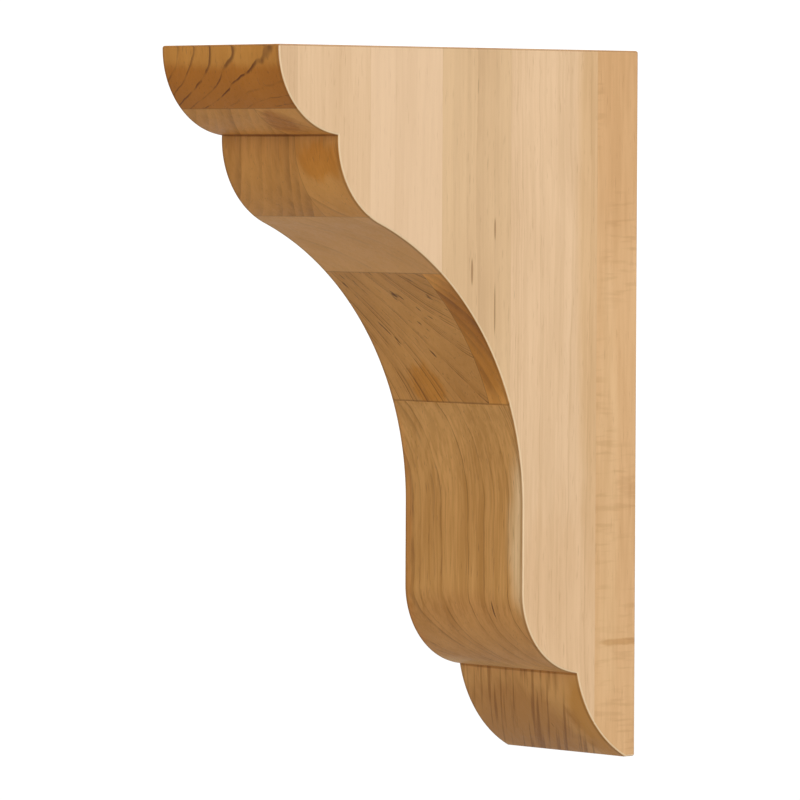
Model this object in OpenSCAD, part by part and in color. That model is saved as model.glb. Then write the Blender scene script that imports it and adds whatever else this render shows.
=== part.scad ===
// Countertop corbel bracket, glued up from boards and bandsawn to an ogee outline.
//
// The frame: the wall face lies in the plane y = 0, the front looks towards -y and the
// width runs along x. The origin is the centre of the wall face. The outline is drawn in
// a plane of its own as [distance from the wall, height above the bottom].

/* [Overall] */
// Width across the bracket
width = 76.2; // [60:0.1:120]
// How far the top reaches out from the wall
projection = 203.2; // [165:0.1:250]
// Height from the bottom to the shelf face
height = 304.8; // [250:0.1:370]

/* [Nose] */
// Radius of the quarter-round under the front of the top
nose_r = 36.4; // [30:0.1:44]
// Upright lip above that quarter-round
nose_lip = 1.2; // [0.5:0.1:4]
// How far short of its lowest point the quarter-round stops, at the upper quirk
nose_stop = 3.9; // [0:0.1:8]

/* [Lobe] */
// How far the lobe under the nose runs back from the quirk to the cove
lobe_run = 23.7; // [18:0.1:29]
// How far that lobe drops from the quirk to the cove
lobe_drop = 37.2; // [30:0.1:45]

/* [Stem] */
// Thickness of the upright stem, from the wall to its front
stem_depth = 66.3; // [54:0.1:80]
// Straight stretch of the stem between the cove and the belly
stem_run = 36; // [20:0.1:46]
// Radius of the belly at the lower end of the stem
belly_r = 36; // [29:0.1:44]
// How far short of its lowest point the belly stops, at the lower quirk
belly_stop = 4; // [0:0.1:8]

/* [Foot] */
// Height of the lower quirk above the bottom
foot_drop = 37.4; // [30:0.1:45]
// Radius of the rounded foot below it
foot_r = 54.6; // [45:0.1:70]
// Flat left at the bottom, beside the wall
heel = 5.8; // [3:0.1:9]

/* [Boards] */
// Thickness of the board against the wall
wall_board_t = 24; // [15:0.1:30]
// Thickness of the board behind the belly
belly_board_t = 50; // [41:0.1:60]
// Thickness of the pair of boards in the lower cove
cove_board_t = 39; // [32:0.1:47]
// Thickness of the pair of boards behind the lobe
lobe_board_t = 40; // [33:0.1:48]
// Thickness left of the board at the tip of the nose
nose_board_t = 10.2; // [8:0.1:13]
// Width of the right-hand board of the cove pair
cove_strip_w = 13.1; // [10:0.1:16]
// Width of the right-hand board of the lobe pair
lobe_strip_w = 28.1; // [22:0.1:34]

/* [Hidden] */
$fn = 360;

// Glue lines, as distances from the wall. The soffit board takes what the others leave.
belly_back = wall_board_t;
cove_back = belly_back + belly_board_t;
soffit_back = cove_back + cove_board_t;
nose_back = projection - nose_board_t;
lobe_back = nose_back - lobe_board_t;

// Glue lines across the width
left_face = -width / 2;
right_face = width / 2;
cove_seam = right_face - cove_strip_w;
lobe_seam = right_face - lobe_strip_w;

// Nose: a quarter-round that hangs from the lip and stops at the upper quirk
nose_top = [projection, height - nose_lip];
nose_centre = nose_top - [nose_r, 0];
upper_quirk = nose_centre + [nose_stop, -sqrt(pow(nose_r, 2) - pow(nose_stop, 2))];

// Belly: the same form at the lower end of the stem
belly_rise = sqrt(pow(belly_r, 2) - pow(belly_stop, 2));
belly_top = [stem_depth, foot_drop + belly_rise];
belly_centre = belly_top - [belly_r, 0];
lower_quirk = belly_centre + [belly_stop, -belly_rise];

// Cove: springs upright from the stem and meets the end of the lobe
cove_foot = belly_top + [0, stem_run];
lobe_end = upper_quirk - [lobe_run, lobe_drop];
cove_r = pow(norm(lobe_end - cove_foot), 2) / (2 * (lobe_end.x - cove_foot.x));
cove_centre = cove_foot + [cove_r, 0];

// Lobe: passes through the upper quirk and runs smoothly into the cove
lobe_chord = lobe_end - upper_quirk;
lobe_normal = (lobe_end - cove_centre) / cove_r;
lobe_r = -pow(norm(lobe_chord), 2) / (2 * lobe_chord * lobe_normal);
lobe_centre = lobe_end + lobe_r * lobe_normal;

// Foot: one arc from the lower quirk to the heel, its centre on the wall side
heel_point = [heel, 0];
foot_chord = lower_quirk - heel_point;
foot_middle = (lower_quirk + heel_point) / 2;
foot_offset = sqrt(pow(foot_r, 2) - pow(norm(foot_chord) / 2, 2));
foot_centre = foot_middle + foot_offset * [-foot_chord.y, foot_chord.x] / norm(foot_chord);

// The slice of a disc between its rim and the chord from a to b
module disc_slice(centre, r, a, b) {
  middle = (a + b) / 2;
  outward = (middle - centre) / norm(middle - centre) * r;
  intersection() {
    translate(centre) circle(r = r);
    polygon([a, b, b + outward, a + outward]);
  }
}

// The straight-sided figure through every point where one curve ends and the next begins
module chords() {
  polygon([
    [0, 0], heel_point, lower_quirk, belly_top, cove_foot,
    lobe_end, upper_quirk, nose_top, [projection, height], [0, height]
  ]);
}

// The side outline of the whole bracket
module outline() {
  difference() {
    union() {
      chords();
      disc_slice(nose_centre, nose_r, upper_quirk, nose_top);
      disc_slice(lobe_centre, lobe_r, lobe_end, upper_quirk);
      disc_slice(belly_centre, belly_r, lower_quirk, belly_top);
      disc_slice(foot_centre, foot_r, heel_point, lower_quirk);
    }
    disc_slice(cove_centre, cove_r, cove_foot, lobe_end);
  }
}

// One board of the glued block: the outline between two distances from the wall,
// from x = left to x = right
module board(back, front, left = left_face, right = right_face) {
  translate([right, 0, -height / 2]) rotate([90, 0, -90]) linear_extrude(right - left)
    intersection() {
      outline();
      translate([back, 0]) square([front - back, height]);
    }
}

module wall_board() {
  color("#deb282") board(0, belly_back);
}

module belly_board() {
  color("#c99a64") board(belly_back, cove_back);
}

module cove_board_left() {
  color("#b98550") board(cove_back, soffit_back, right = cove_seam);
}

module cove_board_right() {
  color("#a06c30") board(cove_back, soffit_back, left = cove_seam);
}

module soffit_board() {
  color("#d8b07c") board(soffit_back, lobe_back);
}

module lobe_board_left() {
  color("#c49260") board(lobe_back, nose_back, right = lobe_seam);
}

module lobe_board_right() {
  color("#ad7238") board(lobe_back, nose_back, left = lobe_seam);
}

module nose_board() {
  color("#b07a40") board(nose_back, projection);
}

wall_board();
belly_board();
cove_board_left();
cove_board_right();
soffit_board();
lobe_board_left();
lobe_board_right();
nose_board();
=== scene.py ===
# %% [markdown]
# # A glued-up wooden corbel
#
# A corbel is a bracket that carries a shelf or a countertop. This one is plain maple: boards are
# glued face to face into a block, an ogee outline is sawn through the block, the sawn face is
# sanded, the sharp edges are eased, and everything gets a clear satin finish.
#
# We build it in the same order: the block, its eased edges, the boards it is glued from, and then
# the wood. Every length is in metres, +Z is up, the wall is the plane y = 0, and the nose
# points to -Y.

# %% Load the frame
from math import atan2, pi, radians, sqrt
from types import SimpleNamespace

import bmesh
import bpy
from mathutils import Matrix, Vector


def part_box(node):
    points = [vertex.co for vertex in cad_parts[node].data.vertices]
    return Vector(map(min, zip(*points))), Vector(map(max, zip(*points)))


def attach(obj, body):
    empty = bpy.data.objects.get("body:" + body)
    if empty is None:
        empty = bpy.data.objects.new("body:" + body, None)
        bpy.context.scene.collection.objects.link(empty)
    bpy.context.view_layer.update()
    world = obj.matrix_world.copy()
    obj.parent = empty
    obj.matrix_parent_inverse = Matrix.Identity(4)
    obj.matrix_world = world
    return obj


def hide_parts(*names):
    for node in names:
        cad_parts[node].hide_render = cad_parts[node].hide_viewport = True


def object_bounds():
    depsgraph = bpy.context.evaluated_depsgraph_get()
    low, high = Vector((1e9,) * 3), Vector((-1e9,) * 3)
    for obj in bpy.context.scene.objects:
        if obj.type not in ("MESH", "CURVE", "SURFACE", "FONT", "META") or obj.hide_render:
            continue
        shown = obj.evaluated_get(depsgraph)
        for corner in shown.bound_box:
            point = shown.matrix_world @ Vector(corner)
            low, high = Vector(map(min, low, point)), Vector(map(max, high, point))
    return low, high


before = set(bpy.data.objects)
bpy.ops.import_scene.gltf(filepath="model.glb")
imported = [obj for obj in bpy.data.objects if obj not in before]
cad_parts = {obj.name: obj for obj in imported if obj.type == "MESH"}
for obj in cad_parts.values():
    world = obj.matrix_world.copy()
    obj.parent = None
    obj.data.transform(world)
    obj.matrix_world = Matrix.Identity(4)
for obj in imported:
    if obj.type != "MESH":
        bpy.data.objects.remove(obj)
cad_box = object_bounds()
print("packed model:", [round(side, 4) for side in cad_box[1] - cad_box[0]])

# %% [markdown]
# ## The camera
#
# The bracket is seen from its front right, almost level, through a long lens that keeps its
# edges nearly parallel. The camera could be turned with an Empty and a Track To constraint;
# here three turns are multiplied, so the small roll stays a number of its own.

# %% Camera
ROUND = radians(48.723)
ABOVE = radians(2.044)
ROLL = radians(0.238)
DISTANCE = 2.7807
SLIDE = Vector((-0.00083, 0.00274, DISTANCE))
LENS = 293.6
FARTHEST_SEEN = 50

middle = (cad_box[0] + cad_box[1]) / 2
aim = Matrix.Rotation(ROUND, 4, "Z") @ Matrix.Rotation(pi / 2 - ABOVE, 4, "X")
aim = aim @ Matrix.Rotation(ROLL, 4, "Z")
bpy.ops.object.select_all(action="DESELECT")
bpy.ops.object.camera_add()
camera = bpy.context.object
camera.matrix_world = Matrix.Translation(middle + aim.to_3x3() @ SLIDE) @ aim
camera.data.lens = LENS
camera.data.clip_end = FARTHEST_SEEN
bpy.context.scene.camera = camera
bpy.context.scene.view_settings.view_transform = "Standard"
print("camera at", [round(v, 3) for v in camera.location])

# %% [markdown]
# ## The light
#
# A white room lights the wood evenly, which is how a catalogue studio keeps every shadow soft.
# One grey room would do for the light, but it would also be seen. So the room is drawn white
# for the camera and gives less light than that, and the wood keeps its tone.

# %% White room
ROOM_LIGHT = 0.49
ROOM_SEEN = 1.1

world = bpy.data.worlds.new("White room")
world.use_nodes = True
bpy.context.scene.world = world
room = world.node_tree.nodes["Background"]
room.inputs["Color"].default_value = (1, 1, 1, 1)
light_path = world.node_tree.nodes.new("ShaderNodeLightPath")
brightness = world.node_tree.nodes.new("ShaderNodeMapRange")
brightness.inputs["To Min"].default_value = ROOM_LIGHT
brightness.inputs["To Max"].default_value = ROOM_SEEN
world.node_tree.links.new(light_path.outputs["Is Camera Ray"], brightness.inputs["Value"])
world.node_tree.links.new(brightness.outputs["Result"], room.inputs["Strength"])
print("room gives", ROOM_LIGHT, "and shows", ROOM_SEEN)

# %% [markdown]
# One wide lamp on the right makes the side nearly twice as bright as the front, and a weaker one
# from above lights the shoulders. Area lamps would need a size and a place. A sun with a wide
# angle gives the same soft light from a direction alone.


# %% Soft lamps
def wide_lamp(name, towards, strength, spread):
    """Adds a sun so wide that it lights like a big softbox standing in that direction."""
    bpy.ops.object.light_add(type="SUN")
    lamp = bpy.context.object
    lamp.name = name
    lamp.data.energy = strength
    lamp.data.angle = radians(spread)
    lamp.rotation_euler = Vector(towards).to_track_quat("Z", "Y").to_euler()
    print(name, "strength", strength, "spread", spread)


wide_lamp("Key softbox", towards=(1.0, -0.10, 0.30), strength=1.63, spread=70)
wide_lamp("Top softbox", towards=(0.15, -0.25, 1.0), strength=0.63, spread=90)

# %% [markdown]
# ## The floor
#
# The bracket hangs well above a sheet of pale studio paper. White paper alone would throw so
# much light up that the underside of the wood goes flat. A Mix Shader on the camera ray keeps
# the paper white to look at, and grey to the light that it sends back.

# %% Floor
FLOOR_DROP = 0.45
FLOOR_SIDE = 14
FLOOR_GREY = (0.5, 0.5, 0.5, 1)
FLOOR_ROUGH = 0.9
FLOOR_SHINE = 0.1
FLOOR_SEEN = 1.05

bpy.ops.mesh.primitive_plane_add(size=FLOOR_SIDE, location=(0, 0, cad_box[0].z - FLOOR_DROP))
floor = bpy.context.object
floor.name = "studio_floor"
floor_paint = bpy.data.materials.new("Pale floor")
floor_paint.use_nodes = True
nodes, links = floor_paint.node_tree.nodes, floor_paint.node_tree.links
floor_shader = nodes["Principled BSDF"]
floor_shader.inputs["Base Color"].default_value = FLOOR_GREY
floor_shader.inputs["Roughness"].default_value = FLOOR_ROUGH
floor_shader.inputs["Specular IOR Level"].default_value = FLOOR_SHINE
swept_white = nodes.new("ShaderNodeEmission")
swept_white.inputs["Strength"].default_value = FLOOR_SEEN
seen_or_bounced = nodes.new("ShaderNodeMixShader")
links.new(nodes.new("ShaderNodeLightPath").outputs["Is Camera Ray"], seen_or_bounced.inputs["Fac"])
links.new(floor_shader.outputs["BSDF"], seen_or_bounced.inputs[1])
links.new(swept_white.outputs["Emission"], seen_or_bounced.inputs[2])
links.new(seen_or_bounced.outputs["Shader"], nodes["Material Output"].inputs["Surface"])
floor.data.materials.append(floor_paint)
print("floor at", round(floor.location.z, 3))

# %% [markdown]
# ## The sawn outline
#
# On the real block the outline is marked from a pattern and cut with a bandsaw. It is a chain of
# arcs and straight lines: lip, nose, lobe, cove, stem, belly, foot and heel. Each corner point
# below is a distance from the wall and a height above the bottom. A traced curve would do too,
# but arcs with a radius are what the pattern maker draws, and they stay true at any size.

# %% Lengths of the outline
projection = cad_box[1].y - cad_box[0].y
height = cad_box[1].z - cad_box[0].z
width = cad_box[1].x - cad_box[0].x

nose_r, nose_lip, nose_stop = 0.0364, 0.0012, 0.0039
lobe_run, lobe_drop = 0.0237, 0.0372
stem_depth, stem_run = 0.0663, 0.036
belly_r, belly_stop = 0.036, 0.004
foot_drop, foot_r, heel = 0.0374, 0.0546, 0.0058
print("width, depth, height:", [round(side, 4) for side in (width, projection, height)])

# %% [markdown]
# The nose and the belly are quarter-rounds that stop just short of their lowest point, at a
# sharp inner corner called a quirk. The cove springs upright from the stem. The lobe has to run
# into the cove without a kink, so its radius follows from the cove's. The foot is one arc.

# %% Points and arcs of the outline
lip_bottom = Vector((projection, height - nose_lip))
nose_centre = lip_bottom - Vector((nose_r, 0))
upper_quirk = nose_centre + Vector((nose_stop, -sqrt(nose_r**2 - nose_stop**2)))

belly_rise = sqrt(belly_r**2 - belly_stop**2)
belly_top = Vector((stem_depth, foot_drop + belly_rise))
belly_centre = belly_top - Vector((belly_r, 0))
lower_quirk = belly_centre + Vector((belly_stop, -belly_rise))

cove_foot = belly_top + Vector((0, stem_run))
lobe_end = upper_quirk - Vector((lobe_run, lobe_drop))
cove_chord = lobe_end - cove_foot
cove_r = cove_chord.length_squared / (2 * cove_chord.x)
cove_centre = cove_foot + Vector((cove_r, 0))

lobe_chord = lobe_end - upper_quirk
lobe_normal = (lobe_end - cove_centre) / cove_r
lobe_r = -lobe_chord.length_squared / (2 * lobe_chord.dot(lobe_normal))
lobe_centre = lobe_end + lobe_r * lobe_normal

heel_point = Vector((heel, 0))
foot_chord = lower_quirk - heel_point
foot_across = Vector((-foot_chord.y, foot_chord.x)).normalized()
foot_offset = sqrt(foot_r**2 - foot_chord.length_squared / 4)
foot_centre = (lower_quirk + heel_point) / 2 + foot_across * foot_offset
print("cove radius", round(cove_r, 4), "lobe radius", round(lobe_r, 4))

# %% [markdown]
# ## The block
#
# We could draw the outline as a curve and extrude it. Sweeping one edge is closer to the saw:
# the edge is as long as the block is wide, it is extruded along each straight line and spun
# about the centre of each arc, and the skin that it leaves is the sawn face.
#
# The sweep starts from the wall face, a plane stood on edge. Its top edge is picked by where it
# lies, not by its number, because places stay the same when a size changes.

# %% The wall face, and the top pulled out of it
TOUCHING = 1e-6


def select_edges(piece, wanted):
    """In edit mode: selects exactly the edges for which wanted(edge) is true, and counts them."""
    mesh = bmesh.from_edit_mesh(piece.data)
    for part in (mesh.verts, mesh.edges, mesh.faces):
        for item in part:
            item.select = False
    chosen = [edge for edge in mesh.edges if wanted(edge)]
    for edge in chosen:
        edge.select_set(True)
    mesh.select_flush_mode()
    bmesh.update_edit_mesh(piece.data)
    return len(chosen)


bpy.ops.mesh.primitive_plane_add(size=1, location=(0, 0, 0), rotation=(-pi / 2, 0, 0))
block = bpy.context.object
block.name = "block"
block.scale = (width, height, 1)
bpy.ops.object.transform_apply(location=True, rotation=True, scale=True)
bpy.ops.object.mode_set(mode="EDIT")
bpy.ops.mesh.select_mode(type="EDGE")
select_edges(block, lambda edge: all(v.co.z > height / 2 - TOUCHING for v in edge.verts))
bpy.ops.mesh.extrude_region_move(TRANSFORM_OT_translate={"value": (0, -projection, 0)})
print("top face:", round(projection * 1000, 1), "mm deep")

# %% [markdown]
# Now the edge goes down the outline and back to the wall. Spin turns it about an arc's centre in
# small steps; the wide cove gets the most, so that no facet shows along its edge.

# %% Sweep the edge down the outline
ARC_STEPS = {"nose": 56, "lobe": 48, "cove": 96, "belly": 56, "foot": 48}
turns = {}


def place(point):
    """The y and z of an outline point in the row frame."""
    return Vector((0, cad_box[1].y - point.x, cad_box[0].z + point.y))


def saw_straight(start, end):
    """Extrudes the selected edge along one straight line of the outline."""
    bpy.ops.mesh.extrude_region_move(TRANSFORM_OT_translate={"value": place(end) - place(start)})


def saw_arc(name, centre, start, end):
    """Spins the selected edge about an arc's centre until it reaches the arc's end."""
    before, after = start - centre, end - centre
    turns[name] = atan2(after.y, after.x) - atan2(before.y, before.x)
    bpy.ops.mesh.spin(
        steps=ARC_STEPS[name], angle=turns[name], center=place(centre), axis=(1, 0, 0))


saw_straight(Vector((projection, height)), lip_bottom)
saw_arc("nose", nose_centre, lip_bottom, upper_quirk)
saw_arc("lobe", lobe_centre, upper_quirk, lobe_end)
saw_arc("cove", cove_centre, lobe_end, cove_foot)
saw_straight(cove_foot, belly_top)
saw_arc("belly", belly_centre, belly_top, lower_quirk)
saw_arc("foot", foot_centre, lower_quirk, heel_point)
saw_straight(heel_point, Vector((0, 0)))
print("turned, degrees:", {name: round(turn * 180 / pi, 1) for name, turn in turns.items()})

# %% [markdown]
# The edge has come back to where it began, so the doubled points are merged and the skin is a
# closed ring. Each side is then one flat face, filled across its open edges.

# %% Close the skin and fill both sides
SAME_POINT = 2e-5

bpy.ops.mesh.select_all(action="SELECT")
bpy.ops.mesh.remove_doubles(threshold=SAME_POINT)
for side in (-1, 1):
    open_edges = select_edges(
        block, lambda edge: edge.is_boundary and edge.verts[0].co.x * side > 0)
    bpy.ops.mesh.edge_face_add()
    print("side", side, "filled across", open_edges, "edges")
bpy.ops.mesh.select_all(action="SELECT")
bpy.ops.mesh.normals_make_consistent(inside=False)

# %% [markdown]
# Sandpaper takes the sharp edge off all round: about a millimetre along both side profiles, the
# back and the top. A Bevel modifier could do it by angle, but that would also catch the quirks,
# which stay crisp; so the edges are chosen by their faces and bevelled in edit mode.

# %% Ease the edges
EASED = 0.0010
EASING_STEPS = 4
EASING_ROUND = 0.5
SIDEWAYS = 0.9
SHARP = 0.5


def is_outer_edge(edge):
    """True where a side face, the top or the back ends, and false across the sawn profile."""
    if len(edge.link_faces) != 2:
        return False
    first, second = (face.normal for face in edge.link_faces)
    corner = edge.verts[0].co
    at_a_side = abs(first.x) > SIDEWAYS or abs(second.x) > SIDEWAYS
    at_back_or_top = corner.y > -TOUCHING or corner.z > height / 2 - TOUCHING
    return first.dot(second) < SHARP and (at_a_side or at_back_or_top)


eased = select_edges(block, is_outer_edge)
bpy.ops.mesh.bevel(offset=EASED, segments=EASING_STEPS, profile=EASING_ROUND,
                   affect="EDGES", clamp_overlap=True)
bpy.ops.object.mode_set(mode="OBJECT")
print("eased", eased, "edges; block has", len(block.data.polygons), "faces")

# %% [markdown]
# ## The boards
#
# The block is glued from upright boards, and the glue planes run straight through it. Eight
# separate outlines could be drawn, but they would have to agree along every joint. Here each
# board is a copy of the block, cut at its own glue planes with Bisect, which also closes the
# cut. The planes come from the frame, so the boards meet exactly where the construction says.

# %% Cut the boards out of the block
BOARDS = {
    "stave_wall": ("wall_board", "maple_wall"),
    "stave_belly": ("belly_board", "maple_belly"),
    "stave_cove_left": ("cove_board_left", "maple_cove"),
    "stave_cove_right": ("cove_board_right", "maple_dark"),
    "stave_soffit": ("soffit_board", "maple_pale"),
    "stave_lobe_left": ("lobe_board_left", "maple_striped"),
    "stave_lobe_right": ("lobe_board_right", "maple_golden"),
    "stave_nose": ("nose_board", "maple_nose"),
}
ON_THE_OUTSIDE = 1e-4
SAME_CUT_POINT = 2e-6


def glue_planes(node):
    """(point, outward normal) of each plane where this board meets another."""
    low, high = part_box(node)
    planes = []
    for axis in (0, 1):
        outward = Vector((0, 0, 0))
        outward[axis] = 1
        if low[axis] > cad_box[0][axis] + ON_THE_OUTSIDE:
            planes.append((low, -outward))
        if high[axis] < cad_box[1][axis] - ON_THE_OUTSIDE:
            planes.append((high, outward))
    return planes


def make_active(piece):
    """Selects one piece alone, for the operators that work on the active object."""
    bpy.ops.object.select_all(action="DESELECT")
    piece.select_set(True)
    bpy.context.view_layer.objects.active = piece


def cut_board(name, node):
    """Copies the block and keeps what lies between the board's glue planes."""
    board = block.copy()
    board.data = block.data.copy()
    board.name = board.data.name = name
    bpy.context.collection.objects.link(board)
    make_active(board)
    bpy.ops.object.mode_set(mode="EDIT")
    for point, outward in glue_planes(node):
        bpy.ops.mesh.select_all(action="SELECT")
        bpy.ops.mesh.bisect(plane_co=point, plane_no=outward, use_fill=True, clear_outer=True)
    bpy.ops.mesh.select_all(action="SELECT")
    bpy.ops.mesh.remove_doubles(threshold=SAME_CUT_POINT)
    bpy.ops.mesh.normals_make_consistent(inside=False)
    bpy.ops.object.mode_set(mode="OBJECT")
    return board


boards = {name: cut_board(name, node) for name, (node, _) in BOARDS.items()}
bpy.data.objects.remove(block)
print(len(boards), "boards cut")

# %% [markdown]
# The flat sides should shade flat and the arcs round. Smooth shading with a limit on the angle
# keeps the cuts sharp, and a Weighted Normal modifier lets each big flat face rule over the
# narrow eased strip beside it. Then we check that every board is a closed solid.

# %% Smooth the boards and check that they are closed
SMOOTH_BELOW = radians(35)


def finish_mesh(board):
    """Shades a board, applies its weighted normals, and measures its volume."""
    make_active(board)
    bpy.ops.object.shade_smooth_by_angle(angle=SMOOTH_BELOW)
    weighted = board.modifiers.new("Flat faces rule", "WEIGHTED_NORMAL")
    weighted.keep_sharp = True
    bpy.ops.object.modifier_apply(modifier=weighted.name)
    mesh = bmesh.new()
    mesh.from_mesh(board.data)
    open_edges = sum(not edge.is_manifold for edge in mesh.edges)
    volume = mesh.calc_volume(signed=True)
    mesh.free()
    return open_edges, volume


for name, board in boards.items():
    open_edges, volume = finish_mesh(board)
    faces = len(board.data.polygons)
    print(f"{name}: {faces} faces, {open_edges} open edges, {volume * 1e6:.1f} cm3")

# %% [markdown]
# ## The wood
#
# Each board keeps its own figure, because each came from a different part of a tree. The figure
# could be painted on each face, but then it would break at every edge. So it is made in the
# solid: growth rings are cylinders round the heart of the tree, and the same rings run as
# straight lines down the side and as slanting ones across the cove. Effects that all boards
# share are node groups with named sockets, built once; these small helpers keep them readable.


# %% Helpers for building node groups
def add_node(tree, kind, wires=(), **options):
    """Adds one shader node, sets its options, and fills its sockets with values or links."""
    node = tree.nodes.new("ShaderNode" + kind)
    for option, value in options.items():
        setattr(node, option, value)
    fill_sockets(tree, node, dict(wires))
    return node


def fill_sockets(tree, node, wires):
    """Links a socket where it is given another socket, and sets it where it is given a value."""
    for socket, value in wires.items():
        if isinstance(value, bpy.types.NodeSocket):
            tree.links.new(value, node.inputs[socket])
        else:
            node.inputs[socket].default_value = value


def calc(tree, operation, first, second=0.0, third=0.0):
    """One Math node, and its result."""
    wires = {0: first, 1: second}
    if operation == "MULTIPLY_ADD":
        wires[2] = third
    return add_node(tree, "Math", wires, operation=operation).outputs[0]


def product(tree, first, *others):
    """Several values multiplied together."""
    for other in others:
        first = calc(tree, "MULTIPLY", first, other)
    return first


def ramp(tree, value, start, end, low=0.0, high=1.0):
    """Eases from low to high while value goes from start to end."""
    wires = {"Value": value, "From Min": start, "From Max": end, "To Min": low, "To Max": high}
    return add_node(tree, "MapRange", wires, interpolation_type="SMOOTHSTEP").outputs["Result"]


def noise(tree, vector, per_metre, detail=2.0, roughness=0.5):
    """Soft 3-D noise, from 0 to 1 with its middle at 0.5, with so many waves per metre."""
    squeezed = add_node(tree, "VectorMath", {0: vector, 1: per_metre}, operation="MULTIPLY")
    wires = {"Vector": squeezed.outputs["Vector"], "Scale": 1.0, "Detail": detail,
             "Roughness": roughness}
    return add_node(tree, "TexNoise", wires, noise_dimensions="3D").outputs[0]


def parts(tree, vector):
    """The X, Y and Z of a vector."""
    return add_node(tree, "SeparateXYZ", {0: vector}).outputs


print("Blender", bpy.app.version_string)

# %% [markdown]
# A group's inputs and outputs are its interface. Each is made with new_socket, and its kind
# follows from the value it starts with: a float, a colour or a vector.

# %% Helpers for making and using a group
SOCKETS = {float: "NodeSocketFloat", tuple: "NodeSocketColor", Vector: "NodeSocketVector"}


def new_group(name, inputs, outputs):
    """A node group with named sockets, and the sockets that its own nodes read and fill."""
    tree = bpy.data.node_groups.new(name, "ShaderNodeTree")
    for direction, sockets in (("INPUT", inputs), ("OUTPUT", outputs)):
        for label, value in sockets.items():
            socket = tree.interface.new_socket(
                label, in_out=direction, socket_type=SOCKETS[type(value)])
            if direction == "INPUT":
                socket.default_value = value
    return tree, tree.nodes.new("NodeGroupInput").outputs, tree.nodes.new("NodeGroupOutput").inputs


def use_group(tree, group, wires):
    """Places a node group in a material, with its own values, and returns its outputs."""
    node = tree.nodes.new("ShaderNodeGroup")
    node.node_tree = group
    fill_sockets(tree, node, wires)
    return node.outputs


print("kinds of socket:", list(SOCKETS.values()))

# %% [markdown]
# ### Growth rings
#
# A ring is pale while the tree grows fast in spring and ends in a thin darker line. In grain
# space X points away from the heart, Y runs round it and Z runs up the trunk. A Wave Texture
# gives rings too, but all alike. Here the radius is bent by slow noise, so the lines wander, and
# each year has a width and a darkness of its own. The noises are given in waves per metre along
# the three axes, and each pair of numbers is where an effect starts and where it is full.

# %% Growth ring group
SLOW_BEND = (26, 26, 7)
QUICK_BEND = (90, 90, 55)
YEAR_CHANGE = 0.37
LINE_FULL = 0.93
LINE_FADES = (1.0, 0.955)
DARK_YEARS = (0.1, 1.0)
LINE_PATCHES = (140, 140, 45)
DARK_PATCHES = (0.34, 0.58)

rings, given, result = new_group(
    "Growth rings",
    {"Vector": Vector(), "Ring Width": 0.003, "Heart Distance": 0.1, "Wander": 0.002,
     "Waviness": 0.0004, "Line Start": 0.45, "Faintest Year": 0.15, "Unevenness": 2.2},
    {"Line": 0.0, "Year Tone": 0.0, "Bent Vector": Vector()},
)
away, around, upward = parts(rings, given["Vector"])
slow = noise(rings, given["Vector"], SLOW_BEND, detail=1.0)
quick = noise(rings, given["Vector"], QUICK_BEND)
outward = calc(rings, "ADD", away, given["Heart Distance"])
squares = calc(rings, "ADD", product(rings, outward, outward), product(rings, around, around))
radius = calc(rings, "SQRT", squares)
radius = calc(rings, "MULTIPLY_ADD", calc(rings, "SUBTRACT", slow, 0.5), given["Wander"], radius)
radius = calc(rings, "MULTIPLY_ADD", calc(rings, "SUBTRACT", quick, 0.5), given["Waviness"], radius)
bent = add_node(rings, "CombineXYZ", {0: radius, 1: around, 2: upward}).outputs[0]
rings.links.new(bent, result["Bent Vector"])

years = calc(rings, "DIVIDE", radius, given["Ring Width"])
uneven = add_node(rings, "TexNoise", {"W": years, "Scale": YEAR_CHANGE, "Detail": 0.0},
                  noise_dimensions="1D").outputs[0]
years = calc(rings, "MULTIPLY_ADD", uneven, given["Unevenness"], years)
age = calc(rings, "FRACT", years)
line = product(rings, ramp(rings, age, given["Line Start"], LINE_FULL),
               ramp(rings, age, *LINE_FADES))
year_luck = add_node(rings, "TexWhiteNoise", {"W": calc(rings, "FLOOR", years)},
                     noise_dimensions="1D").outputs[0]
dark_year = ramp(rings, year_luck, *DARK_YEARS, given["Faintest Year"], 1.0)
patches = noise(rings, given["Vector"], LINE_PATCHES)
dark_patch = ramp(rings, patches, *DARK_PATCHES, given["Faintest Year"], 1.0)
rings.links.new(product(rings, line, product(rings, dark_year, dark_patch)), result["Line"])
rings.links.new(year_luck, result["Year Tone"])
print(rings.name, "has", len(rings.nodes), "nodes")

# %% [markdown]
# ### Fibres, flecks and curl
#
# Between the rings the wood shows fine streaks along the fibres, short dark flecks that lie in
# the rings, and here and there a curl: bands across the grain where the fibres ripple. All of
# them are noise that is squeezed across the grain and stretched along it.

# %% Fibre group
BROAD_STREAKS, FINE_STREAKS = (280, 140, 12), (1100, 600, 30)
BROAD_SHARE, FINE_SHARE = 0.55, 0.45
STREAK_RANGE = (0.39, 0.61)
PORES, PORE_RANGE = (1900, 1300, 120), (0.62, 0.80)
FLECKS = (820, 140, 60)
FLECK_LIMIT, LOWER_WITH_AMOUNT, FLECK_EDGE = 0.82, -0.19, 0.05
CLUSTERS, CLUSTER_RANGE = (190, 60, 20), (0.44, 0.56)
RIPPLES, RIPPLE_RANGE = (55, 55, 420), (0.50, 0.68)
PATCHES, PATCH_RANGE = (40, 40, 16), (0.42, 0.62)
CLOUDS, CLOUD_RANGE = (38, 38, 11), (0.3, 0.7)

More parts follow.
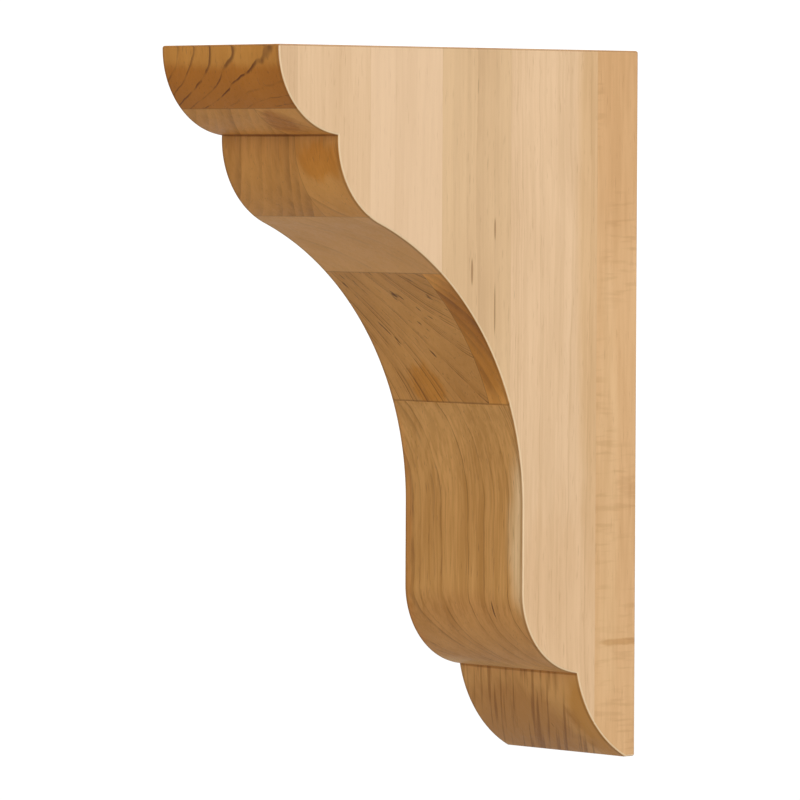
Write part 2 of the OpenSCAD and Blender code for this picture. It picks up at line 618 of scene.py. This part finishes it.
fibre, given, result = new_group(
    "Fibre marks",
    {"Vector": Vector(), "Fleck Amount": 0.0, "Curl Amount": 0.0},
    {"Streak": 0.0, "Pores": 0.0, "Fleck": 0.0, "Curl": 0.0, "Cloud": 0.0},
)
grain = given["Vector"]
broad_streak = noise(fibre, grain, BROAD_STREAKS, detail=3.0, roughness=0.6)
fine_streak = noise(fibre, grain, FINE_STREAKS)
broad_streak = product(fibre, broad_streak, BROAD_SHARE)
streak = calc(fibre, "MULTIPLY_ADD", fine_streak, FINE_SHARE, broad_streak)
fibre.links.new(ramp(fibre, streak, *STREAK_RANGE), result["Streak"])
pores = noise(fibre, grain, PORES, detail=1.0)
fibre.links.new(ramp(fibre, pores, *PORE_RANGE), result["Pores"])

fleck_field = noise(fibre, grain, FLECKS, detail=1.0)
fleck_limit = calc(fibre, "MULTIPLY_ADD", given["Fleck Amount"], LOWER_WITH_AMOUNT, FLECK_LIMIT)
fleck_full = calc(fibre, "ADD", fleck_limit, FLECK_EDGE)
fleck = add_node(fibre, "MapRange", {"Value": fleck_field, "From Min": fleck_limit,
                                     "From Max": fleck_full}).outputs["Result"]
fleck_cluster = ramp(fibre, noise(fibre, grain, CLUSTERS), *CLUSTER_RANGE)
fibre.links.new(product(fibre, fleck, fleck_cluster), result["Fleck"])

ripple = ramp(fibre, noise(fibre, grain, RIPPLES), *RIPPLE_RANGE)
ripple_patch = ramp(fibre, noise(fibre, grain, PATCHES, detail=1.0), *PATCH_RANGE)
fibre.links.new(product(fibre, ripple, ripple_patch, given["Curl Amount"]), result["Curl"])
fibre.links.new(ramp(fibre, noise(fibre, grain, CLOUDS), *CLOUD_RANGE), result["Cloud"])
print(fibre.name, "has", len(fibre.nodes), "nodes")

# %% [markdown]
# ### The sawn face and the eased edge
#
# The sides and the back are planed, and stay pale. The outline cuts through the fibres, drinks more
# finish and goes deeper and more golden. Along the eased edge a pale line is a painted highlight. A
# thin dark line where the sawn face begins, and round the other eased edges, is painted shade.
# Each face could have a material slot of its own, but the rounding lies between two faces. The
# way the surface points tells all of this apart, so the group needs little more than the normal.
# Each pair below is how far it points sideways, back or up where an effect starts and is full.

# %% Sawn face group
SAWN_SIDEWAYS, SAWN_BACK = (0.80, 0.35), (0.75, 0.35)
END_GRAIN = (0.05, 0.60)
PROFILE_BACK, PROFILE_UP = (0.3, 0.1), (0.35, 0.15)
# Next come the bounds of the painted highlight on the eased edge, and then those of the painted
# shade along the edges.
HIGHLIGHT_BEGINS, HIGHLIGHT_ENDS = (0.50, 0.75), (0.999, 0.95)
TURN_BEGINS, TURN_ENDS = (0.04, 0.25), (0.72, 0.5)
BACK_BEGINS, BACK_ENDS, BACK_SHARE = (0.1, 0.4), (0.95, 0.7), 0.5
TOP_BEGINS, TOP_ENDS = (0.1, 0.35), (0.995, 0.9)
LINE_REACH = (0.0023, 0.0011)

sawn, given, result = new_group(
    "Sawn face and edge",
    {"Normal": Vector((0, 0, 1)), "Vector": Vector(), "Half Width": 0.0381},
    {"Sawn": 0.0, "Edge Highlight": 0.0, "Edge Shade": 0.0, "End Grain": 0.0},
)
to_right, to_back, to_top = parts(sawn, given["Normal"])
sideways = calc(sawn, "ABSOLUTE", to_right)
sawn_share = product(sawn, ramp(sawn, sideways, *SAWN_SIDEWAYS), ramp(sawn, to_back, *SAWN_BACK))
sawn.links.new(sawn_share, result["Sawn"])
sawn.links.new(ramp(sawn, calc(sawn, "ABSOLUTE", to_top), *END_GRAIN), result["End Grain"])


def between(value, begins, ends):
    """A band that is full where it has begun and has not ended yet."""
    return product(sawn, ramp(sawn, value, *begins), ramp(sawn, value, *ends))


# Painted highlight: a pale band where the eased edge turns from the side to the sawn face.
on_profile = product(sawn, ramp(sawn, to_back, *PROFILE_BACK), ramp(sawn, to_top, *PROFILE_UP))
edge_highlight = between(sideways, HIGHLIGHT_BEGINS, HIGHLIGHT_ENDS)
sawn.links.new(product(sawn, edge_highlight, on_profile), result["Edge Highlight"])

# Painted shade: a thin dark line on the sawn face beside each side, on the turn of each eased edge,
# and on the eased edges that face back or up.
across = calc(sawn, "ABSOLUTE", parts(sawn, given["Vector"])[0])
from_side = calc(sawn, "SUBTRACT", given["Half Width"], across)
beside_edge = product(sawn, ramp(sawn, from_side, *LINE_REACH), sawn_share)
on_the_turn = between(sideways, TURN_BEGINS, TURN_ENDS)
behind = product(sawn, between(to_back, BACK_BEGINS, BACK_ENDS), BACK_SHARE)
above = between(to_top, TOP_BEGINS, TOP_ENDS)
edge_shade = calc(sawn, "MAXIMUM", on_the_turn, beside_edge)
edge_shade = calc(sawn, "MAXIMUM", edge_shade, calc(sawn, "MAXIMUM", above, behind))
sawn.links.new(edge_shade, result["Edge Shade"])
print(sawn.name, "has", len(sawn.nodes), "nodes")

# %% [markdown]
# ### The glue line
#
# A good glue joint is a hairline, a little darker than the wood. A thin slab of its own would be
# thicker than the real thing. The line lies on the planes where a board meets its neighbour, so
# the group measures how near a point is to either plane of a pair.

# %% Glue line group
DARK_WITHIN = (1.0, 0.2)

glue, given, result = new_group(
    "Glue line",
    {"Vector": Vector(), "Low Corner": Vector(), "High Corner": Vector(), "Line Width": 0.0003},
    {"Line": 0.0},
)


def vector_calc(tree, operation, first, second):
    """One Vector Math node, and its vector."""
    return add_node(tree, "VectorMath", {0: first, 1: second}, operation=operation).outputs[0]


above_low = vector_calc(glue, "SUBTRACT", given["Vector"], given["Low Corner"])
below_high = vector_calc(glue, "SUBTRACT", given["High Corner"], given["Vector"])
gaps = parts(glue, vector_calc(glue, "MINIMUM", above_low, below_high))
gap = calc(glue, "MINIMUM", gaps[0], gaps[1])
in_widths = calc(glue, "DIVIDE", gap, given["Line Width"])
glue.links.new(ramp(glue, in_widths, *DARK_WITHIN), result["Line"])
print(glue.name, "has", len(glue.nodes), "nodes")

# %% [markdown]
# ### Single marks
#
# Some marks are one of a kind: a dark streak, a golden patch. They could be painted by hand, but
# a soft-edged egg shape in the solid, roughened by noise, lands on whichever face passes
# through it. It has a centre and three half lengths.

# %% Mark group
RAGGED_NOISE = (170, 170, 60)
RAGGED_REACH = 4.0
MARK_FADES = (1.15, 0.6)

marks, given, result = new_group(
    "One mark",
    {"Vector": Vector(), "Centre": Vector(), "Half Size": Vector((0.01, 0.01, 0.01)),
     "Ragged": 0.3},
    {"Mask": 0.0},
)
from_centre = vector_calc(marks, "SUBTRACT", given["Vector"], given["Centre"])
relative = vector_calc(marks, "DIVIDE", from_centre, given["Half Size"])
reach = add_node(marks, "VectorMath", {0: relative}, operation="LENGTH").outputs["Value"]
ragged = calc(marks, "SUBTRACT", noise(marks, given["Vector"], RAGGED_NOISE, detail=3.0), 0.5)
ragged_share = product(marks, given["Ragged"], RAGGED_REACH)
reach = calc(marks, "MULTIPLY_ADD", ragged, ragged_share, reach)
marks.links.new(ramp(marks, reach, *MARK_FADES), result["Mask"])
print(marks.name, "has", len(marks.nodes), "nodes")

# %% [markdown]
# ## One material for each board
#
# The groups give masks and the material mixes colours with them. Every board has the same chain
# of nodes with values of its own, so the chain is built by functions, one step at a time. The
# first step places the groups. `tilt` turns the rings about the trunk: at 0 degrees the heart
# lies to the left of the board, at -90 degrees behind it.

# %% Place the groups for one board
PAST_THE_OUTSIDE = 1.0


def place_groups(tree, node, wood):
    """Puts the shared groups into one board's material, and returns their outputs."""
    coordinates = add_node(tree, "TexCoord").outputs
    here = coordinates["Object"]
    low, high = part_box(node)
    turned = add_node(tree, "Mapping", {
        "Vector": here, "Location": (low + high) / 2, "Rotation": (0, 0, radians(wood["tilt"])),
    }, vector_type="TEXTURE").outputs[0]
    face = use_group(tree, sawn, {
        "Normal": coordinates["Normal"], "Vector": here, "Half Width": width / 2,
    })
    ring = use_group(tree, rings, {
        "Vector": turned, "Ring Width": wood["ring"], "Heart Distance": wood["heart"],
        "Wander": wood["wander"], "Waviness": wood["wavy"], "Line Start": wood["line_start"],
        "Faintest Year": wood["faintest"], "Unevenness": wood["uneven"],
    })
    fibres = use_group(tree, fibre, {
        "Vector": ring["Bent Vector"], "Fleck Amount": wood["fleck"], "Curl Amount": wood["curl"],
    })
    for axis in (0, 1):
        if low[axis] < cad_box[0][axis] + ON_THE_OUTSIDE:
            low[axis] -= PAST_THE_OUTSIDE
        if high[axis] > cad_box[1][axis] - ON_THE_OUTSIDE:
            high[axis] += PAST_THE_OUTSIDE
    joint = use_group(tree, glue, {"Vector": here, "Low Corner": low, "High Corner": high})
    planed = calc(tree, "SUBTRACT", 1.0, face["Sawn"])
    return SimpleNamespace(
        here=here, face=face, sawn=face["Sawn"], planed=planed, ring=ring, fibres=fibres,
        joint=joint)


print("groups:", [group.name for group in (sawn, rings, fibre, glue, marks)])

# %% [markdown]
# The foot is the last stretch of the sawn face, under the lower quirk. It cuts across the fibres
# so steeply that the rings hardly show; instead dark streaks lean back down it, across both of
# its boards, and leave its right edge clean. Rings could not run on from board to board like
# that, so the streaks are a noise of their own, sheared by FOOT_LEAN.

# %% Figure of the foot
FOOT_LEAN = 0.96
FOOT_STREAKS, FOOT_STREAK_RANGE = (400, 1, 24), (0.49, 0.63)
FOOT_BEGINS = 0.0005
CLEAN_EDGE = (0.031, 0.020)


def foot_figure(tree, groups):
    """Where the sawn foot is, and the dark streaks on it."""
    x, y, z = parts(tree, groups.here)
    quirk_z = place(lower_quirk).z
    on_foot = ramp(tree, z, quirk_z + FOOT_BEGINS, quirk_z - FOOT_BEGINS)
    on_foot = product(tree, on_foot, groups.sawn)
    sheared = calc(tree, "MULTIPLY_ADD", y, FOOT_LEAN, x)
    leaning = add_node(tree, "CombineXYZ", {0: sheared, 2: z}).outputs[0]
    streaks = noise(tree, leaning, FOOT_STREAKS, detail=3.0)
    streaks = ramp(tree, streaks, *FOOT_STREAK_RANGE)
    return on_foot, product(tree, streaks, ramp(tree, x, *CLEAN_EDGE), on_foot)


print("the foot begins", round(lower_quirk.y * 1000, 1), "mm above the bottom")

# %% [markdown]
# Each board has three tones on its planed side and three on its sawn face: pale, deep and dark.
# Streaks, clouds and year bands mix pale with deep. Then ring lines, curl and pores draw in the
# dark tone. A Color Ramp would do the first mix, but it can't change between the two faces.

# %% Ground tone and figure
CLOUD_SHARE = 0.40
FIGURE_ON_FOOT = 0.12
STREAKS_ON_END_GRAIN = 0.4
LINES_ON_PLANED = 0.5
CURL_SHARE = 0.8
PORE_SHARE = 0.45


def mix(tree, share, under, over, blend="MIX"):
    """Lays one colour over another by a share from 0 to 1."""
    wires = {"Factor": share, 6: under, 7: over}
    return add_node(tree, "Mix", wires, data_type="RGBA", blend_type=blend).outputs[2]


def by_face(tree, groups, on_planed, on_sawn):
    """One value on the planed faces and another on the sawn face."""
    return ramp(tree, groups.sawn, 0.0, 1.0, on_planed, on_sawn)


def wood_figure(tree, wood, groups, on_foot):
    """The colour of bare wood: its tones, with the lines, curl and pores drawn in."""
    pale, deep, dark = (
        mix(tree, groups.sawn, planed, sawn_tone)
        for planed, sawn_tone in zip(wood["planed"], wood["sawn"]))
    contrast = product(tree, by_face(tree, groups, *wood["figure"]),
                       ramp(tree, on_foot, 0.0, 1.0, 1.0, FIGURE_ON_FOOT))
    streakiness = ramp(tree, groups.face["End Grain"], 0.0, 1.0,
                       wood["streaks"], wood["streaks"] * STREAKS_ON_END_GRAIN)
    tone = calc(tree, "MULTIPLY_ADD", groups.fibres["Streak"], streakiness,
                product(tree, groups.fibres["Cloud"], CLOUD_SHARE))
    tone = calc(tree, "MULTIPLY_ADD", groups.ring["Year Tone"], wood["bands"], tone)
    colour = mix(tree, product(tree, tone, contrast), pale, deep)

    lines = product(tree, contrast, by_face(tree, groups, LINES_ON_PLANED, 1.0), wood["lines"])
    curl = product(tree, groups.planed, CURL_SHARE)
    pores = product(tree, contrast, PORE_SHARE)
    for mask, share in ((groups.ring["Line"], lines), (groups.fibres["Curl"], curl),
                        (groups.fibres["Pores"], pores)):
        colour = mix(tree, product(tree, mask, share), colour, dark)
    return colour


print("pores take", PORE_SHARE, "of the dark tone")

# %% [markdown]
# A mark multiplies the colour under it by a tint, so the figure still shows through. Each is
# written as (face, centre, half size, raggedness, tint), in millimetres across from the middle,
# out from the wall and up from the bottom, and it shows only on the face it names.

# %% Lay the marks on
DARK = (0.50, 0.38, 0.22, 1)
FOOT_STREAK_SHARE = 0.65


def from_wall(across, out, up):
    """Row-frame point from millimetres: across from the middle, out from the wall, and up."""
    return Vector((across / 1000, cad_box[1].y - out / 1000, cad_box[0].z + up / 1000))


def lay_marks(tree, wood, groups, colour, foot_streaks):
    """Tints the wood with the streaks of the foot and with the board's own marks."""
    foot_share = product(tree, foot_streaks, FOOT_STREAK_SHARE)
    colour = mix(tree, foot_share, colour, DARK, "MULTIPLY")
    for face, centre, half_size, raggedness, tint in wood["marks"]:
        mask = use_group(tree, marks, {
            "Vector": groups.here, "Centre": from_wall(*centre),
            "Half Size": Vector(half_size) / 1000, "Ragged": raggedness,
        })["Mask"]
        on_its_face = product(tree, mask, groups.sawn if face == "sawn" else groups.planed)
        colour = mix(tree, on_its_face, colour, tint, "MULTIPLY")
    return colour


print("streaks of the foot take", FOOT_STREAK_SHARE, "of their tint")

# %% [markdown]
# Flecks, glue, the painted shade and the painted highlight of the eased edges lie over everything
# else, each with one tone for the whole bracket. Flecks and glue are strong on the sawn face and
# faint on the sides.

# %% Flecks, glue lines and edges
FLECK = (0.09, 0.03, 0.006, 1)
GLUE_TONE = (0.20, 0.08, 0.015, 1)
# The dark tone of the painted shade along the eased edges.
EDGE_SHADE = (0.28, 0.105, 0.014, 1)
# The pale tone of the painted highlight on the eased edge.
EDGE_HIGHLIGHT = (0.95, 0.72, 0.44, 1)
FLECK_SHARES = (0.25, 0.8)
GLUE_ON_PLANED = 0.05
EDGE_SHADE_SHARE = 0.45
EDGE_HIGHLIGHT_SHARE = 0.8


def finish_lines(tree, wood, groups, colour):
    """Lays the flecks, the glue lines and the painted shade and highlight of the eased edges over
    the wood.
    """
    for mask, share, tone in (
        (groups.fibres["Fleck"], by_face(tree, groups, *FLECK_SHARES), FLECK),
        (groups.joint["Line"], by_face(tree, groups, GLUE_ON_PLANED, wood["glue"]), GLUE_TONE),
        (groups.face["Edge Shade"], EDGE_SHADE_SHARE, EDGE_SHADE),
        (groups.face["Edge Highlight"], EDGE_HIGHLIGHT_SHARE, EDGE_HIGHLIGHT),
    ):
        colour = mix(tree, product(tree, mask, share), colour, tone)
    return colour


print("the painted edge highlight covers", EDGE_HIGHLIGHT_SHARE)

# %% [markdown]
# A satin varnish is neither mirror nor chalk: the roughness lies near a third, a little more
# where the sawn face is coarser. Pores sink and streaks rise by hardly a tenth of a millimetre,
# far too little for geometry, so a Bump node turns them into a slope of the normal.

# %% Board material
SATIN = 0.32
STREAKS_ROUGHER = 0.10
SAWN_ROUGHER = 0.06
STREAK_HEIGHT, PORE_HEIGHT, LINE_HEIGHT = 0.5, -1.0, 0.4
BUMP_STRENGTH = 0.35
BUMP_DEPTH = 0.00012
SPECULAR = 0.25


def board_material(name, node, wood):
    """The whole material of one board, from its dictionary of tones and figure."""
    material = bpy.data.materials.new(name)
    material.use_nodes = True
    tree = material.node_tree
    shader = tree.nodes["Principled BSDF"]
    groups = place_groups(tree, node, wood)
    on_foot, foot_streaks = foot_figure(tree, groups)
    colour = wood_figure(tree, wood, groups, on_foot)
    colour = lay_marks(tree, wood, groups, colour, foot_streaks)
    colour = finish_lines(tree, wood, groups, colour)
    tree.links.new(colour, shader.inputs["Base Color"])

    streak, pores = groups.fibres["Streak"], groups.fibres["Pores"]
    rough = calc(tree, "MULTIPLY_ADD", streak, STREAKS_ROUGHER, SATIN)
    rough = calc(tree, "MULTIPLY_ADD", groups.sawn, SAWN_ROUGHER, rough)
    tree.links.new(rough, shader.inputs["Roughness"])
    relief = calc(tree, "MULTIPLY_ADD", pores, PORE_HEIGHT, product(tree, streak, STREAK_HEIGHT))
    relief = calc(tree, "MULTIPLY_ADD", groups.ring["Line"], LINE_HEIGHT, relief)
    bump = add_node(tree, "Bump", {
        "Height": relief, "Strength": BUMP_STRENGTH, "Distance": BUMP_DEPTH})
    tree.links.new(bump.outputs[0], shader.inputs["Normal"])
    shader.inputs["Specular IOR Level"].default_value = SPECULAR
    return material


print("satin roughness", SATIN)

# %% [markdown]
# ## The tones of the eight boards
#
# `plain` is quiet maple. Each board starts from it and changes what sets it apart. Three tones
# are pale, deep and dark, first for the planed side and then for the sawn face; `ring` is the
# width of a year, `heart` how far the heart of the tree lies, and `figure` is how strong the
# figure shows on each face. In a tint, 1 leaves a colour alone.

# %% Quiet maple
plain = {
    "planed": ((0.86, 0.595, 0.360, 1), (0.68, 0.44, 0.235, 1), (0.44, 0.23, 0.09, 1)),
    "sawn": ((0.82, 0.395, 0.105, 1), (0.50, 0.205, 0.035, 1), (0.22, 0.075, 0.008, 1)),
    "tilt": -50, "ring": 0.0042, "heart": 0.12, "wander": 0.004, "wavy": 0.0008,
    "uneven": 2.2, "line_start": 0.45, "faintest": 0.1, "lines": 0.6, "bands": 0.3,
    "streaks": 0.5, "figure": (0.65, 0.75), "fleck": 0.2, "curl": 0.0, "glue": 0.3, "marks": [],
}
woods = {}
print("quiet maple has", len(plain), "settings")

# %% [markdown]
# The board against the wall has the redder side and the curl. The belly board has fine years that
# run down its front, a paler strip of its wood at the right with a painted sheen on it, painted
# shade in the lower quirk and on its lower curve, and a painted reflection of light thrown back up
# onto its underside. The foot crosses both, so both carry the same browner middle and amber edge.

# %% Wall board and belly board
# The first tint below is painted shade, for the lower quirk and the underside of the nose.
SHADE = (0.72, 0.60, 0.42, 1)
BROWN = (0.71, 0.62, 0.52, 1)
AMBER = (0.82, 0.71, 0.45, 1)
STREAK = (0.84, 0.77, 0.66, 1)
BRIGHTER = (1.04, 1.08, 1.12, 1)
DULLER = (0.96, 0.93, 0.89, 1)
# The next tint is painted shade on the lower curve of the belly.
CURVE_SHADE = (0.90, 0.83, 0.78, 1)
REDDER = (1.02, 0.92, 0.84, 1)
WARMER = (0.91, 0.855, 0.75, 1)
# The pale strip is the wood's own paler tone with a painted sheen on it.
PALE_AND_SHEEN = (1.25, 1.62, 2.8, 1)
REFLECTED = (1.10, 1.22, 1.5, 1)

foot_brown = ("sawn", (-10, 18, 12), (40, 34, 28), 0.12, BROWN)
foot_amber = ("sawn", (37, 18, 12), (14, 36, 30), 0.12, AMBER)
belly_sawn = ((0.88, 0.455, 0.140, 1), (0.55, 0.248, 0.052, 1), (0.20, 0.065, 0.008, 1))
woods["stave_wall"] = {
    **plain, "sawn": belly_sawn, "tilt": 8, "curl": 0.30, "glue": 0.0,
    "planed": ((0.79, 0.490, 0.245, 1), (0.62, 0.35, 0.15, 1), (0.45, 0.22, 0.08, 1)),
    "marks": [
        foot_brown, foot_amber,
        ("side", (38, 9, 50), (30, 11, 1.5), 0.3, STREAK),
        ("side", (38, 17, 115), (30, 7, 105), 0.2, BRIGHTER),
        ("side", (38, 12, 290), (30, 20, 75), 0.2, DULLER),
    ]}
woods["stave_belly"] = {
    **plain, "sawn": belly_sawn, "ring": 0.0022, "wavy": 0.0014, "uneven": 3.0,
    "line_start": 0.55, "glue": 0.0, "figure": (0.60, 0.80), "marks": [
        # Painted shade: a dark line in the lower quirk.
        ("sawn", (0, 34.0, 37.0), (60, 2.5, 0.8), 0.0, SHADE),
        foot_brown, foot_amber,
        # A paler strip of wood with a painted sheen, at the right of the belly.
        ("sawn", (43, 68, 98), (15.5, 18, 42), 0.08, PALE_AND_SHEEN),
        ("sawn", (-10, 39, 41), (44, 9, 4.5), 0.1, REFLECTED),
        ("side", (38, 25, 235), (30, 11.5, 175), 0.05, WARMER),
        ("sawn", (-37, 66, 95), (4, 40, 62), 0.2, REDDER),
        # Painted shade on the belly's lower curve, where it turns under.
        ("sawn", (0, 58, 52), (60, 24, 24), 0.1, CURVE_SHADE),
        ("side", (38, 45, 50), (30, 40, 70), 0.2, DULLER),
    ]}
print("marks:", {name: len(wood["marks"]) for name, wood in woods.items()})

# %% [markdown]
# The lower cove is cut through the liveliest pair: fine slanting years full of dark flecks on
# the left, with one golden patch, and a browner strip on the right. A few dark scars run up the
# side of the strip. The soffit board above them is the quiet one.

# %% Cove boards and soffit board
GOLDEN = (0.92, 0.78, 0.40, 1)
UMBER = (0.74, 0.65, 0.40, 1)
SCAR = (0.62, 0.55, 0.48, 1)

cove_planed = ((0.80, 0.545, 0.305, 1), (0.62, 0.39, 0.20, 1), (0.36, 0.19, 0.09, 1))
woods["stave_cove_left"] = {
    **plain, "planed": cove_planed, "tilt": 135, "ring": 0.0015, "heart": 0.06,
    "wavy": 0.0006, "uneven": 3.0, "line_start": 0.5, "lines": 1.0, "streaks": 0.3,
    "figure": (0.60, 0.90), "fleck": 0.85, "glue": 0.5,
    "marks": [("sawn", (-12, 76, 162), (12, 8, 12), 0.3, GOLDEN)]}
woods["stave_cove_right"] = {
    **plain, "planed": cove_planed, "tilt": -40, "ring": 0.0050, "line_start": 0.2,
    "sawn": ((0.98, 0.450, 0.095, 1), (0.56, 0.195, 0.022, 1), (0.22, 0.065, 0.006, 1)),
    "faintest": 0.4, "lines": 0.6, "bands": 0.4, "streaks": 0.3, "figure": (0.60, 0.9),
    "fleck": 0.3, "glue": 0.5, "marks": [
        ("sawn", (31.5, 95, 179), (16, 45, 29), 0.12, UMBER),
        ("side", (38, 96, 210), (30, 0.7, 6), 0.2, SCAR),
        ("side", (38, 83, 228), (30, 0.5, 5), 0.2, SCAR),
        ("side", (38, 83, 194), (30, 0.5, 14), 0.3, SCAR),
    ]}
woods["stave_soffit"] = {
    **plain, "lines": 0.3, "figure": (0.35, 0.60), "fleck": 0.0,
    "planed": ((0.87, 0.610, 0.380, 1), (0.69, 0.45, 0.250, 1), (0.44, 0.23, 0.09, 1)),
    "sawn": ((0.88, 0.450, 0.150, 1), (0.66, 0.305, 0.070, 1), (0.30, 0.12, 0.03, 1))}
print("ring widths, mm:", {name: wood["ring"] * 1000 for name, wood in woods.items()})

# %% [markdown]
# The lobe pair is striped on the left and golden on the right, with a painted shade line in the
# upper quirk and painted shade under the right of the nose. The nose shows a few bold years as
# arcs, because its board was cut far from the heart, which lies a quarter of a metre behind it. A
# painted highlight runs along the top of the nose.

# %% Lobe boards and nose board
# A painted highlight along the top of the nose.
NOSE_TOP_HIGHLIGHT = (1.22, 1.50, 2.9, 1)

# Painted shade: a dark line in the upper quirk, under the nose.
upper_quirk_shade = ("sawn", (0, 171.5, 268.0), (60, 3.0, 1.3), 0.0, DARK)
woods["stave_lobe_left"] = {
    **plain, "tilt": 45, "ring": 0.0045, "uneven": 1.2, "line_start": 0.1, "faintest": 0.3,
    "sawn": ((0.86, 0.395, 0.095, 1), (0.52, 0.205, 0.030, 1), (0.22, 0.075, 0.008, 1)),
    "bands": 0.35, "streaks": 0.35, "marks": [upper_quirk_shade]}
woods["stave_lobe_right"] = {
    **plain, "tilt": -60, "lines": 0.35, "streaks": 0.35,
    "sawn": ((0.88, 0.405, 0.095, 1), (0.54, 0.215, 0.030, 1), (0.22, 0.075, 0.008, 1)),
    "marks": [
        upper_quirk_shade,
        ("sawn", (24, 170, 257), (15, 9, 10), 0.3, GOLDEN),
        # Painted shade under the right side of the nose.
        ("sawn", (19, 185, 272), (12, 12, 7), 0.25, SHADE),
    ]}
woods["stave_nose"] = {
    **plain, "tilt": -101.5, "heart": 0.2535, "ring": 0.0030, "wander": 0.0030,
    "planed": ((0.80, 0.545, 0.325, 1), (0.63, 0.40, 0.210, 1), (0.44, 0.23, 0.09, 1)),
    "sawn": ((0.62, 0.218, 0.020, 1), (0.46, 0.146, 0.010, 1), (0.16, 0.045, 0.004, 1)),
    "wavy": 0.0014, "uneven": 0.6, "line_start": 0.80, "lines": 1.0, "bands": 0.1,
    "streaks": 0.2, "figure": (0.65, 1.0),
    "marks": [("sawn", (0, 204, 304), (200, 8, 9.5), 0.15, NOSE_TOP_HIGHLIGHT)]}
print(len(woods), "woods")

# %% [markdown]
# Last, each board gets its material. It rides on the bracket's one body, takes the place of its
# plain solid, and fills that solid's slot.

# %% Finish the boards
for name, board in boards.items():
    node, slot_name = BOARDS[name]
    board.data.materials.append(board_material(slot_name, node, woods[name]))
    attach(board, "root")
    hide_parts(node)
print("finished", len(boards), "boards")
